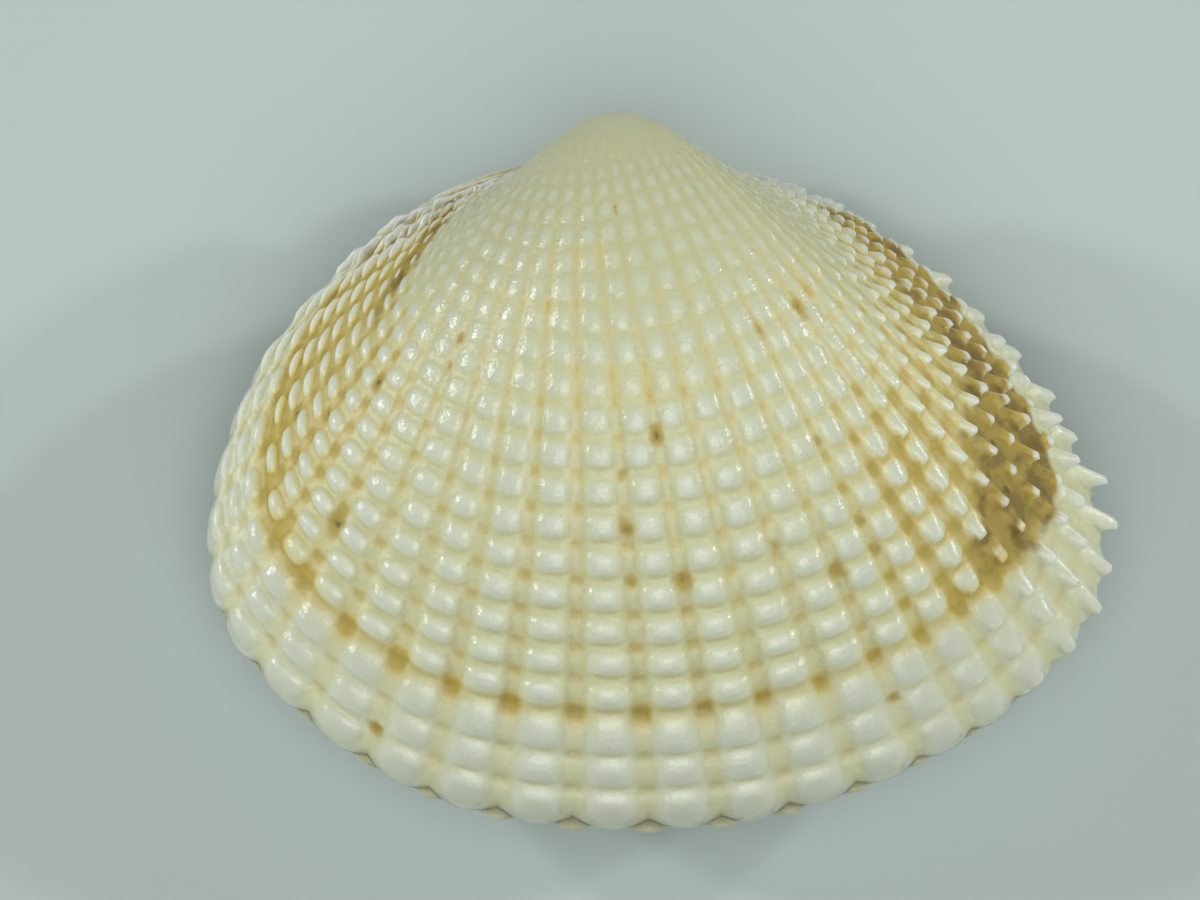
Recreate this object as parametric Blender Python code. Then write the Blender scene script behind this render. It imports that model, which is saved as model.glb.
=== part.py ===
"""A small venerid clam, both valves closed, lying on its right valve. Metres, +Z up.

Each valve grows as a logarithmic spiral. The margin turns about a hinge axis that passes
through the beak, and shrinks by the same factor for each radian that it turns back in time.
Radial ribs cross rows of growth, and a bead stands where a rib meets a row.
"""

import math

import bmesh
import bpy
import numpy as np
from mathutils import Matrix

MM = 0.001

# The margin of a valve in the plane where the valves meet, in millimetres from the beak:
# x towards the rear end, y towards the hinge, with four ribs between one point and the next.
MARGIN_POINTS = (
    (0.0, 0.0), (-3.4, -1.1), (-6.5, -4.3), (-7.0, -8.4), (-3.4, -11.6), (1.8, -12.2),
    (6.3, -10.7), (8.6, -8.15), (7.9, -5.1), (5.6, -2.3), (3.1, -0.8), (0.0, 0.0),
)
RIBS_BETWEEN_POINTS = 4
FIRST_RIB = -14
LAST_RIB = 22
MARGIN_START = -18
PLAIN_COLUMNS = 4

# How a valve grows.
SHRINK_PER_RADIAN = 1.3
AXIS_TWIST = math.radians(11.8)
AXIS_LIFT = math.radians(1.3)
BEAK_HEIGHT = 0.19
BEAK_TURN = 2.5

# Rows of beads, as the angle in radians that the margin has turned since.
NEW_ROWS = (0.024, 0.061, 0.096)
GROWTH_STOP = 0.126
OLD_ROW_START = 0.148
OLD_ROW_STEP = 0.0335
OLD_ROW_WIDENING = 0.00175
OLD_ROWS = 13
SMOOTH_TURNS = (0.96, 1.12, 1.32, 1.56)
BEAK_TURNS = (1.8, 2.1, BEAK_TURN)

# Relief, as a share of the local width of a rib. The smooth surface runs through the beads.
BEAD_RISE = 0.22
SADDLE_DEPTH = 0.05
GROOVE_DEPTH = 0.22
STOP_DEPTH = 0.08
SCALE_REACH = 0.26
SCALE_RISE = 0.10
SCALES_START = 3.0
SCALES_FULL = 13.0

# The oldest rows, by the umbo, are worn low: the turns where that starts and ends, and what is left.
WEAR_START = 0.25
WEAR_FULL = 0.85
WORN_SHARE = 0.5

# By the hinge the relief dies away: the distances of the margin from the axis at which it is
# gone and full, in millimetres, and the least share of the smooth height that a groove keeps.
RELIEF_GONE = 0.3
RELIEF_FULL = 2.8
LEAST_HEIGHT = 0.6

# The wall, the edges and the gap between them, in millimetres.
INSIDE_SCALE = 0.86
INSIDE_CENTRE = (0.8, -6.4)
INSIDE_TURNS = (0.3, 0.6, 0.9, 1.25, 1.6)
EDGE_GAP = 0.3
EDGE_WAVE = 0.08

# How the shell lies: the valves meet in a level plane, and the fullest part of the lower valve is
# worn to a flat spot, which is looked for in this many steps along the ribs and across them.
SPOT_DEPTH = 0.24
SEARCH_STEPS = 341

IVORY = (0.77, 0.75, 0.64, 1.0)


def margin(rib):
    """Return points (x, y) of the margin at rib numbers, on a Catmull-Rom curve through the points."""
    points = np.array(MARGIN_POINTS)
    before = 2.0 * points[0] - points[1]
    after = 2.0 * points[-1] - points[-2]
    points = np.vstack([before, points, after])
    place = (np.asarray(rib, float) - MARGIN_START) / RIBS_BETWEEN_POINTS
    span = np.clip(np.floor(place).astype(int), 0, len(MARGIN_POINTS) - 2)
    t = (place - span)[..., None]
    a, b, c, d = points[span], points[span + 1], points[span + 2], points[span + 3]
    square = (2.0 * a - 5.0 * b + 4.0 * c - d) * t**2
    cube = (3.0 * b - a - 3.0 * c + d) * t**3
    return 0.5 * (2.0 * b + (c - a) * t + square + cube)


def hinge_axis():
    """Return the direction of the axis that the margin turns about."""
    return np.array([
        math.cos(AXIS_TWIST) * math.cos(AXIS_LIFT),
        math.sin(AXIS_TWIST) * math.cos(AXIS_LIFT),
        math.sin(AXIS_LIFT),
    ])


def valve_surface(turn, rib):
    """Return the smooth outer surface: the margin turned back about the hinge axis and shrunk."""
    turn, rib = np.broadcast_arrays(np.asarray(turn, float), np.asarray(rib, float))
    flat = margin(rib)
    start = np.concatenate([flat, np.full(turn.shape + (1,), -BEAK_HEIGHT)], axis=-1)
    axis = hinge_axis()
    cosine = np.cos(turn)[..., None]
    sine = np.sin(turn)[..., None]
    along = (start @ axis)[..., None] * axis
    turned = start * cosine - np.cross(axis, start) * sine + along * (1.0 - cosine)
    shrunk = turned * np.exp(-SHRINK_PER_RADIAN * turn)[..., None]
    return shrunk + np.array([0.0, 0.0, BEAK_HEIGHT])


def surface_frame(turn, rib):
    """Return the outward normal, the direction of growth and the width of a rib at each place."""
    step = 0.01
    across = (valve_surface(turn, rib + step) - valve_surface(turn, rib - step)) / (2.0 * step)
    back = valve_surface(turn + step, rib) - valve_surface(turn - step, rib)
    normal = np.cross(across, back)
    normal /= np.linalg.norm(normal, axis=-1, keepdims=True)
    growth = -back / np.linalg.norm(back, axis=-1, keepdims=True)
    width = np.linalg.norm(across, axis=-1, keepdims=True)
    return normal, growth, width


def smooth_step(low, high, value):
    """Return a soft step from 0 at low to 1 at high."""
    share = np.clip((value - low) / (high - low), 0.0, 1.0)
    return share * share * (3.0 - 2.0 * share)


def relief_share(rib):
    """Return how much relief a rib has: none where the margin comes close to the hinge axis."""
    points = margin(rib)
    axis = hinge_axis()
    distance = np.abs(points[..., 0] * axis[1] - points[..., 1] * axis[0])
    return smooth_step(RELIEF_GONE, RELIEF_FULL, distance)


def wear_share(turn):
    """Return how much relief is left at a turn: the oldest rows, by the umbo, are worn low."""
    return 1.0 - (1.0 - WORN_SHARE) * smooth_step(WEAR_START, WEAR_FULL, turn)


def bead_rows():
    """Return the turns of the rows of beads, and those of the valleys before, between and after them."""
    count = np.arange(OLD_ROWS)
    old = OLD_ROW_START + OLD_ROW_STEP * count + OLD_ROW_WIDENING * count**2
    crests = np.concatenate([NEW_ROWS, old])
    between = 0.5 * (crests[:-1] + crests[1:])
    between[len(NEW_ROWS) - 1] = GROWTH_STOP
    last = crests[-1] + 0.5 * (crests[-1] - crests[-2])
    return crests, np.concatenate([[0.0], between, [last]])


def rib_columns(phase):
    """Return the rib numbers of the columns: grooves and crests, with plain areas by the hinge."""
    ribbed = np.linspace(FIRST_RIB, LAST_RIB, 2 * (LAST_RIB - FIRST_RIB) + 1) + phase
    end = MARGIN_START + RIBS_BETWEEN_POINTS * (len(MARGIN_POINTS) - 1)
    front = np.linspace(MARGIN_START, ribbed[0], PLAIN_COLUMNS + 2)[1:-1]
    rear = np.linspace(ribbed[-1], end, PLAIN_COLUMNS + 2)[1:-1]
    return np.concatenate([front, ribbed, rear])


def valley_points(valleys, columns):
    """Return the places in the valleys: deep in the grooves, and a saddle on each rib."""
    turn, column = np.meshgrid(valleys, columns, indexing="ij")
    normal, _, width = surface_frame(turn, column)
    depth = np.zeros(turn.shape)
    depth[:, PLAIN_COLUMNS:-PLAIN_COLUMNS] = SADDLE_DEPTH
    depth[:, PLAIN_COLUMNS:-PLAIN_COLUMNS:2] = GROOVE_DEPTH
    stop = valleys == GROWTH_STOP
    depth[stop, PLAIN_COLUMNS:-PLAIN_COLUMNS] += STOP_DEPTH
    wave = np.zeros(len(columns))
    wave[PLAIN_COLUMNS:-PLAIN_COLUMNS] = -EDGE_WAVE
    wave[PLAIN_COLUMNS:-PLAIN_COLUMNS:2] = EDGE_WAVE
    share = relief_share(column)
    smooth = valve_surface(turn, column)
    points = smooth - normal * width * (depth * share * wear_share(turn))[..., None]
    points[..., 2] = np.maximum(points[..., 2], LEAST_HEIGHT * smooth[..., 2])
    points[0, :, 2] = wave * share[0] ** 2
    return points


def bead_points(crests, columns):
    """Return the tops of the beads, which lean outwards as scales towards the rear."""
    ribs = columns[PLAIN_COLUMNS + 1:-PLAIN_COLUMNS:2]
    turn, column = np.meshgrid(crests, ribs, indexing="ij")
    normal, growth, width = surface_frame(turn, column)
    scales = np.clip((column - SCALES_START) / (SCALES_FULL - SCALES_START), 0.0, 1.0)[..., None]
    rise = BEAD_RISE + SCALE_RISE * scales
    lift = width * (normal * rise + growth * SCALE_REACH * scales)
    return valve_surface(turn, column) + lift * (relief_share(column) * wear_share(turn))[..., None]


def add_row(bm, points):
    """Add one row of vertices."""
    return [bm.verts.new(point) for point in points]


def add_faces(bm, faces, flip):
    """Add faces, turned round where the wall is seen from inside."""
    for face in faces:
        bm.faces.new(face[::-1] if flip else face)


def join_beads(bm, lower, upper, beads):
    """Join two valleys by six triangles round each bead, and by plain quads near the hinge."""
    faces = []
    last = len(lower) - 1
    for i in list(range(PLAIN_COLUMNS)) + list(range(last - PLAIN_COLUMNS, last)):
        faces.append((lower[i], lower[i + 1], upper[i + 1], upper[i]))
    for k, bead in enumerate(beads):
        i = PLAIN_COLUMNS + 2 * k
        ring = (lower[i], lower[i + 1], lower[i + 2], upper[i + 2], upper[i + 1], upper[i])
        faces += [(ring[j], ring[(j + 1) % 6], bead) for j in range(6)]
    add_faces(bm, faces, False)


def join_rows(bm, lower, upper, flip):
    """Join two rows, with quads, or with three triangles to a step if the upper has half as many."""
    faces = []
    if len(lower) == len(upper):
        for i in range(len(lower) - 1):
            faces.append((lower[i], lower[i + 1], upper[i + 1], upper[i]))
    else:
        for i in range(len(upper) - 1):
            a, b, c = lower[2 * i:2 * i + 3]
            faces += [(a, b, upper[i]), (b, upper[i + 1], upper[i]), (b, c, upper[i + 1])]
    add_faces(bm, faces, flip)


def close_at_beak(bm, rows, beak, flip):
    """Close the ends of the rows at the beak, and the smallest row with triangles to its middle."""
    faces = []
    for lower, upper in zip(rows, rows[1:]):
        faces += [(lower[0], upper[0], beak), (upper[-1], lower[-1], beak)]
    last = rows[-1]
    middle = bm.verts.new(sum((vertex.co for vertex in last), last[0].co * 0.0) / len(last))
    ring = list(last) + [beak]
    faces += [(vertex, ring[(i + 1) % len(ring)], middle) for i, vertex in enumerate(ring)]
    add_faces(bm, faces, flip)


def build_outside(bm, columns):
    """Build the beaded outer face and the smooth umbo. Return the edge row and the beak."""
    crests, valleys = bead_rows()
    rows = [add_row(bm, points) for points in valley_points(valleys, columns)]
    beads = [add_row(bm, points) for points in bead_points(crests, columns)]
    for lower, upper, between in zip(rows, rows[1:], beads):
        join_beads(bm, lower, upper, between)
    beaded = len(rows)
    for turns, thinned in ((SMOOTH_TURNS, columns[::2]), (BEAK_TURNS, columns[::4])):
        smooth = valve_surface(*np.meshgrid(turns, thinned, indexing="ij"))
        rows += [add_row(bm, points) for points in smooth]
    for lower, upper in zip(rows[beaded - 1:], rows[beaded:]):
        join_rows(bm, lower, upper, False)
    beak = bm.verts.new((0.0, 0.0, BEAK_HEIGHT))
    close_at_beak(bm, rows, beak, False)
    return rows[0], beak


def build_inside(bm, columns):
    """Build the smooth inner face, the outer one made smaller. Return its edge row and its beak."""
    centre = np.array([INSIDE_CENTRE[0], INSIDE_CENTRE[1], 0.0])
    rows = []
    for turns, thinned in (((0.0,), columns[::2]), (INSIDE_TURNS, columns[::4])):
        outer = valve_surface(*np.meshgrid(turns, thinned, indexing="ij"))
        rows += [add_row(bm, points) for points in centre + INSIDE_SCALE * (outer - centre)]
    beak = bm.verts.new(centre + INSIDE_SCALE * (np.array([0.0, 0.0, BEAK_HEIGHT]) - centre))
    for lower, upper in zip(rows, rows[1:]):
        join_rows(bm, lower, upper, True)
    close_at_beak(bm, rows, beak, True)
    return rows[0], beak


def build_valve(phase):
    """Build one valve, its edge in the plane z = 0 and its outer face towards +z, in millimetres."""
    bm = bmesh.new()
    columns = rib_columns(phase)
    outer_edge, outer_beak = build_outside(bm, columns)
    inner_edge, inner_beak = build_inside(bm, columns)
    join_rows(bm, outer_edge, inner_edge, True)
    ends = [
        (inner_beak, outer_beak, outer_edge[0], inner_edge[0]),
        (outer_beak, inner_beak, inner_edge[-1], outer_edge[-1]),
    ]
    add_faces(bm, ends, True)
    return bm


def finish_mesh(bm, name, scale_z):
    """Lift the valve by half the gap, mirror it if it is the lower one, and turn it to metres."""
    lift = Matrix.Translation((0.0, 0.0, 0.5 * EDGE_GAP))
    scale = Matrix.Diagonal((MM, MM, MM * scale_z, 1.0))
    bmesh.ops.transform(bm, matrix=scale @ lift, verts=bm.verts)
    if scale_z < 0.0:
        bmesh.ops.reverse_faces(bm, faces=bm.faces)
    bmesh.ops.triangulate(bm, faces=bm.faces)
    mesh = bpy.data.meshes.new(name)
    bm.to_mesh(mesh)
    bm.free()
    return mesh


def rest_placement():
    """Return the matrix that lays the shell on the flat spot of its lower valve."""
    turns = np.linspace(0.0, SMOOTH_TURNS[-1], SEARCH_STEPS)
    ribs = np.linspace(FIRST_RIB, LAST_RIB, SEARCH_STEPS)
    lower = valve_surface(*np.meshgrid(turns, ribs, indexing="ij")).reshape(-1, 3)
    lower[:, 2] = -lower[:, 2] - 0.5 * EDGE_GAP
    lowest = lower[lower[:, 2].argmin()]
    lowest[2] += SPOT_DEPTH
    return Matrix.Translation([-MM * value for value in lowest])


def wear_flat_spot(bm, placement):
    """Cut the lower valve off at the height of the floor, and fill the cut with one flat face."""
    bmesh.ops.transform(bm, matrix=placement, verts=bm.verts)
    everything = list(bm.verts) + list(bm.edges) + list(bm.faces)
    floor = {"plane_co": (0.0, 0.0, 0.0), "plane_no": (0.0, 0.0, -1.0)}
    bmesh.ops.bisect_plane(bm, geom=everything, dist=1e-7, clear_outer=True, **floor)
    open_edges = [edge for edge in bm.edges if edge.is_boundary]
    filled = bmesh.ops.holes_fill(bm, edges=open_edges, sides=0)
    bmesh.ops.triangulate(bm, faces=filled["faces"])
    bmesh.ops.transform(bm, matrix=placement.inverted(), verts=bm.verts)


def make_material(name, color, roughness):
    """Make a plain glossy or matt surface of one colour."""
    material = bpy.data.materials.new(name)
    material.use_nodes = True
    shader = material.node_tree.nodes["Principled BSDF"]
    shader.inputs["Base Color"].default_value = color
    shader.inputs["Roughness"].default_value = roughness
    shader.inputs["Metallic"].default_value = 0.0
    return material


def add_piece(name, mesh, material, parent):
    """Put a mesh in the scene as a named piece that lies as its parent does."""
    mesh.materials.append(material)
    mesh.shade_smooth()
    mesh.set_sharp_from_angle(angle=math.radians(50.0))
    piece = bpy.data.objects.new(name, mesh)
    bpy.context.scene.collection.objects.link(piece)
    piece.parent = parent
    return piece


def main():
    """Build the two valves and lay them down."""
    for existing in list(bpy.data.objects):
        bpy.data.objects.remove(existing, do_unlink=True)
    placement = rest_placement()
    rest = bpy.data.objects.new("shell_at_rest", None)
    rest.matrix_world = placement
    bpy.context.scene.collection.objects.link(rest)

    left = finish_mesh(build_valve(0.0), "left_valve", 1.0)
    right = finish_mesh(build_valve(0.5), "right_valve", -1.0)
    bm = bmesh.new()
    bm.from_mesh(right)
    wear_flat_spot(bm, placement)
    bm.to_mesh(right)
    bm.free()

    add_piece("left_valve", left, make_material("left valve ivory", IVORY, 0.45), rest)
    add_piece("right_valve", right, make_material("right valve ivory", IVORY, 0.45), rest)


main()
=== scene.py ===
# %% [markdown]
# # A small beaded clam, both valves closed
# The shell is about 16 mm long. Its upper valve shows about 34 ribs that spread from the beak, and
# each rib carries a row of beads. This lesson grows both valves from one rule, instead of sculpting
# them, because a real shell grows by one rule as well: only its edge is ever added to.

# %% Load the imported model
import math

import bpy
import numpy as np
from mathutils import Matrix, Vector


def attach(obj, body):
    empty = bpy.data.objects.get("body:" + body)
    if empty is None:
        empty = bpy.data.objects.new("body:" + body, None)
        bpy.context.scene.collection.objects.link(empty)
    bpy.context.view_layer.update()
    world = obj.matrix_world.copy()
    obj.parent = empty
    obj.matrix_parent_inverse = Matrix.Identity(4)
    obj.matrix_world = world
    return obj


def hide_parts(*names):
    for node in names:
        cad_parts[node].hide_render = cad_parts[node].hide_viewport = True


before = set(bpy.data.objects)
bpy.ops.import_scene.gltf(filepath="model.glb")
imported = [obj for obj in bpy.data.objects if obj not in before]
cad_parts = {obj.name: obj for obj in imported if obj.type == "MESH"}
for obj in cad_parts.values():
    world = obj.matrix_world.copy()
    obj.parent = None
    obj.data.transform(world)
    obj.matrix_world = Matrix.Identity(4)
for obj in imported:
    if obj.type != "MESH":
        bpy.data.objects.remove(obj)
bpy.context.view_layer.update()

# %% [markdown]
# ## The rule of growth
# A mollusc adds shell at the margin only. As it does, the margin turns about an axis through the
# beak and grows by the same factor for each radian. So the whole outer face is one flat curve,
# turned back in time and shrunk: a logarithmic spiral surface. Sculpting would need thousands of
# strokes to keep the ribs in line. Here rib numbers run along the curve and turns run back in time,
# so every bead has a rib number and a row number, as on the real shell. The margin, the shrinking and
# the axis were fitted to ribs and rows read off the photo, and then rounded.

# %% Driving sizes of the growth, in millimetres and radians
MM = 0.001
STEP, TINY = 0.01, 1e-12
# The margin as (x, y) from the beak, with a point at every fourth rib.
MARGIN_POINTS = (
    (0.0, 0.0), (-3.4, -1.1), (-6.5, -4.3), (-7.0, -8.4), (-3.4, -11.6), (1.8, -12.2),
    (6.3, -10.7), (8.6, -8.15), (7.9, -5.1), (5.6, -2.3), (3.1, -0.8), (0.0, 0.0),
)
RIBS_BETWEEN_POINTS = 4
MARGIN_START = -18
MARGIN_END = MARGIN_START + RIBS_BETWEEN_POINTS * (len(MARGIN_POINTS) - 1)
FIRST_RIB = -16
LAST_RIB = 22
SHRINK_PER_RADIAN = 1.3
AXIS_TWIST = math.radians(11.8)
AXIS_LIFT = math.radians(1.3)
BEAK_HEIGHT = 0.19
BEAK_TURN = 2.5
EDGE_GAP = 0.3
HINGE_AXIS = np.array([
    math.cos(AXIS_TWIST) * math.cos(AXIS_LIFT),
    math.sin(AXIS_TWIST) * math.cos(AXIS_LIFT),
    math.sin(AXIS_LIFT),
])


def margin(rib):
    """Points (x, y) of the margin at rib numbers: a Catmull-Rom curve through MARGIN_POINTS."""
    points = np.array(MARGIN_POINTS)
    before = 2.0 * points[0] - points[1]
    after = 2.0 * points[-1] - points[-2]
    points = np.vstack([before, points, after])
    place = (np.asarray(rib, float) - MARGIN_START) / RIBS_BETWEEN_POINTS
    span = np.clip(np.floor(place).astype(int), 0, len(MARGIN_POINTS) - 2)
    t = (place - span)[..., None]
    a, b, c, d = points[span], points[span + 1], points[span + 2], points[span + 3]
    square = (2.0 * a - 5.0 * b + 4.0 * c - d) * t**2
    cube = (3.0 * b - a - 3.0 * c + d) * t**3
    return 0.5 * (2.0 * b + (c - a) * t + square + cube)


def valve_surface(turn, rib):
    """Smooth outer face: exp(-1.3 turn) times the margin, turned back by turn about the hinge axis."""
    turn, rib = np.broadcast_arrays(np.asarray(turn, float), np.asarray(rib, float))
    start = np.concatenate([margin(rib), np.full(turn.shape + (1,), -BEAK_HEIGHT)], axis=-1)
    cosine = np.cos(turn)[..., None]
    sine = np.sin(turn)[..., None]
    along = (start @ HINGE_AXIS)[..., None] * HINGE_AXIS
    turned = start * cosine - np.cross(HINGE_AXIS, start) * sine + along * (1.0 - cosine)
    shrunk = turned * np.exp(-SHRINK_PER_RADIAN * turn)[..., None]
    return shrunk + np.array([0.0, 0.0, BEAK_HEIGHT])


def surface_frame(turn, rib):
    """Outward normal, direction of growth and width of a rib, from differences of the smooth face."""
    across = (valve_surface(turn, rib + STEP) - valve_surface(turn, rib - STEP)) / (2.0 * STEP)
    back = valve_surface(turn + STEP, rib) - valve_surface(turn - STEP, rib)
    normal = np.cross(across, back)
    normal /= np.maximum(np.linalg.norm(normal, axis=-1, keepdims=True), TINY)
    growth = -back / np.maximum(np.linalg.norm(back, axis=-1, keepdims=True), TINY)
    width = np.linalg.norm(across, axis=-1, keepdims=True)
    return normal, growth, width


print("margin, mm:", np.round(margin(np.array([-10.0, 2.0, 10.0])), 2).tolist())

# %% [markdown]
# ## Rows of beads
# Beads stand where a rib meets a row of growth. Three broad rows are younger than a pause in
# growth, a stained step that runs along the margin. Behind it the older rows are about 34
# thousandths of a radian apart and widen slowly. One number, the row, says where a point lies:
# whole numbers are crests of beads, and halves are the valleys between them.

# %% From row number to turn
# The old rows start at one turn, a step apart that widens by the square of their count.
NEW_ROWS = (0.024, 0.061, 0.096)
GROWTH_STOP = 0.126
STOP_ROW = len(NEW_ROWS) - 0.5
OLD_ROW_START = 0.148
OLD_ROW_STEP = 0.0335
OLD_ROW_WIDENING = 0.00175
OLD_ROWS = 20
ROWS = len(NEW_ROWS) + OLD_ROWS


def row_marks():
    """Turns at every half row: crests by the rule of the old rows, valleys halfway between crests."""
    count = np.arange(OLD_ROWS)
    old = OLD_ROW_START + OLD_ROW_STEP * count + OLD_ROW_WIDENING * count**2
    crests = np.concatenate([NEW_ROWS, old])
    marks = np.zeros(2 * ROWS + 1)
    marks[1::2] = crests
    marks[2:-1:2] = 0.5 * (crests[:-1] + crests[1:])
    marks[-1] = 1.5 * crests[-1] - 0.5 * crests[-2]
    marks[2 * len(NEW_ROWS)] = GROWTH_STOP
    return marks


TURN_MARKS = row_marks()
ROW_MARKS = 0.5 * np.arange(2 * ROWS + 1) - 0.5


def turn_of(row):
    """The turn of a row number, on straight lines between the marks."""
    return np.interp(row, ROW_MARKS, TURN_MARKS)


print("rows:", ROWS, "from turn 0 to", round(float(TURN_MARKS[-1]), 3))

# %% [markdown]
# ## Beads, ribs and scales
# Three kinds of relief share the shell. In the middle a rib is a flat-topped band with rounded
# rectangular beads, steep on the side of the margin. Towards the front the ribs are low and the beads
# are ovals that stand apart. Towards the rear each bead is a narrow scale that leans outwards.
# Displacing a mesh by a picture can't lean anything outwards, so the relief is a height along the
# normal and a reach along the direction of growth, both worked out at every grid point.

# %% Helpers for soft steps
BEAD_SEED = 11
FRONT_FADE = (-9.0, -3.5)
REAR_FADE = (5.5, 12.0)
HEIGHT_FROM_AXIS = (0.0, 0.9)
DEPTH_FROM_AXIS = (0.3, 2.4)
MOST_SKEW = 0.65


def smooth(low, high, x):
    """Smooth step from 0 at low to 1 at high: 3t^2 - 2t^3."""
    t = np.clip((x - low) / (high - low), 0.0, 1.0)
    return t * t * (3.0 - 2.0 * t)


def mix(a, b, share):
    """a where share is 0, b where it is 1."""
    return a + (b - a) * share


def hump(x, middle, spread):
    """Bell curve exp(-((x - middle) / spread)^2)."""
    return np.exp(-(((x - middle) / spread) ** 2))


def axis_share(rib, span):
    """Smooth step over the distance of the margin from the hinge axis, in millimetres."""
    points = margin(rib)
    distance = np.abs(points[..., 0] * HINGE_AXIS[1] - points[..., 1] * HINGE_AXIS[0])
    return smooth(*span, distance)


def row_skew(row, rib):
    """How far a rib leans on its rows: across . along / across . across, held to MOST_SKEW."""
    across = valve_surface(turn_of(row), rib + STEP) - valve_surface(turn_of(row), rib - STEP)
    along = valve_surface(turn_of(row + STEP), rib) - valve_surface(turn_of(row - STEP), rib)
    lean = (across * along).sum(axis=-1) / np.maximum((across * across).sum(axis=-1), TINY)
    return np.clip(lean, -MOST_SKEW, MOST_SKEW)


def bead_draws(seed):
    """Four numbers from -1 to 1 for every bead: its height, its two shifts and its length."""
    rng = np.random.default_rng(seed)
    return rng.uniform(-1.0, 1.0, (4, ROWS, LAST_RIB - FIRST_RIB + 1))


leans = row_skew(np.full(3, 5.0), np.array([-12.0, 2.0, 14.0]))
print("lean of the ribs -12, 2 and 14 at row 5:", leans.round(2))

# %% Where each kind of relief starts and ends, in rows, ribs or turns
NEW_FADE = (2.0, 3.0)
OLD_FADE = (0.20, 0.60)
WORN_FADE = (1.15, 1.45)
LOOSE_FADE = (-13.5, -10.5)
SMALL_SCALE_FADE = (12.0, 16.5)
LONG_SCALE_FADE = (0.0, 1.5)


def kinds_of_relief(row, rib):
    """Shares of front, rear, middle, new and old rows, loose granules, and what wear has left."""
    front = 1.0 - smooth(*FRONT_FADE, rib)
    rear = smooth(*REAR_FADE, rib)
    middle = (1.0 - front) * (1.0 - rear)
    new = 1.0 - smooth(*NEW_FADE, row)
    turn = turn_of(row)
    old = smooth(*OLD_FADE, turn)
    fading = 1.0 - smooth(*WORN_FADE, turn)
    loose = 1.0 - smooth(*LOOSE_FADE, rib)
    return front, rear, middle, new, old, loose, fading


shares = [round(float(share), 2) for share in kinds_of_relief(5.0, -6.0)]
print("front, rear and middle shares at rib -6:", shares[:3])

# %% The outlines of a bead, a scale and a rib, as shares of a rib's width or of a row
BEAD_POWER = (2.7, 2.3)
BEAD_ROUNDING = 0.8
BEAD_HALF_LENGTH = (0.36, 0.35)
BEAD_HALF_DEPTH = (0.40, 0.33)
NEW_LENGTH, NEW_DEPTH, LOOSE_DEPTH, DRAWN_DEPTH = 0.01, 0.04, 0.04, 0.03
SHIFT_ALONG_ROW = (0.025, 0.12)
SHIFT_ACROSS_ROWS = (0.03, 0.08)
LOOSE_STRAIGHTER = 0.6
STEEP_SIDE, STEEP_SPAN = 0.92, (-0.35, 0.35)
SCALE_BACK, SCALE_RISE, SCALE_TIP = 0.16, 0.46, (-0.49, -0.36)
SCALE_CORE, SCALE_HALF_WIDTH, SCALE_TAPER, SCALE_SHIFT = 0.09, 0.25, 0.05, 0.05
RIB_SHOULDER, RIB_FOOT = (0.25, 0.27), (0.44, 0.46)
REAR_SHOULDER, REAR_FOOT = 0.12, 0.40
RIDGE_HALF, RIDGE_POWER = 0.44, 3


def bead_outline(offset, p, lean, kinds, draws):
    """A pillow (1 - u^m - v^m)^0.8: u is the distance from the middle along the row, v across it."""
    front, _, middle, new, _, loose, _ = kinds
    _, aside, along, long = draws
    u = np.abs(offset + lean * p + mix(*SHIFT_ALONG_ROW, loose) * aside)
    v = np.abs(p + mix(*SHIFT_ACROSS_ROWS, loose) * along)
    depth = mix(*BEAD_HALF_DEPTH, front) - LOOSE_DEPTH * loose
    v = v / (depth + NEW_DEPTH * new * middle + DRAWN_DEPTH * long)
    u = u / (mix(*BEAD_HALF_LENGTH, front) - NEW_LENGTH * new * middle)
    power = mix(*BEAD_POWER, front)
    pillow = np.clip(1.0 - u**power - v**power, 0.0, 1.0) ** BEAD_ROUNDING
    pillow *= mix(1.0, STEEP_SIDE, smooth(*STEEP_SPAN, p))
    return pillow


def scale_outline(offset, p, aside):
    """A ramp that rises towards the margin and drops at its tip, narrower as it gets higher."""
    ramp = np.clip((SCALE_BACK - p) / SCALE_RISE, 0.0, 1.0) * smooth(*SCALE_TIP, p)
    half = SCALE_HALF_WIDTH - SCALE_TAPER * ramp
    return ramp * (1.0 - smooth(SCALE_CORE, half, np.abs(offset + SCALE_SHIFT * aside)))


def rib_outline(offset, new, rear):
    """1 on the flat top of a rib, 0 in the groove, with a narrower rib towards the rear."""
    shoulder = mix(mix(*RIB_SHOULDER, new), REAR_SHOULDER, rear)
    foot = mix(mix(*RIB_FOOT, new), REAR_FOOT, rear)
    return 1.0 - smooth(shoulder, foot, np.abs(offset))


print("a rib's top and foot, share of its width:", 2.0 * RIB_SHOULDER[0], 2.0 * RIB_FOOT[0])

# %% Relief over the grid, with heights as shares of a rib's width
MIDDLE_RIB, FRONT_RIB, REAR_RIB = 0.055, 0.03, 0.07
MIDDLE_BEAD, FRONT_BEAD = (0.135, 0.09), (0.16, 0.12)
LOOSE_BEAD, GRIT_HEIGHT = 0.09, 0.08
SCALE_HEIGHT, SCALE_REACH = 0.34, (0.14, 0.26)
SMALL_SCALE = 0.42
RIDGE_HEIGHT = (0.03, 0.06)
GROOVE_DEPTH, STOP_DEPTH, STOP_SPREAD = 0.03, 0.03, 0.22
OLD_BEADS, OLD_RIBS = 0.50, 0.75
MIDDLE_VARIES, REAR_VARIES, LOOSE_VARIES = 0.16, 0.35, 0.6
PIT_SPAN = (0.12, 0.44)
GRIT_WAVES = ((9.1, 4.7), (5.3, 7.7))


def grit(row, rib):
    """Product of two sine waves that cross, for the crust of granules in front of the beak."""
    (rib_one, row_one), (rib_two, row_two) = GRIT_WAVES
    return np.sin(rib_one * rib + row_one * row) * np.sin(row_two * row - rib_two * rib)


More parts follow.
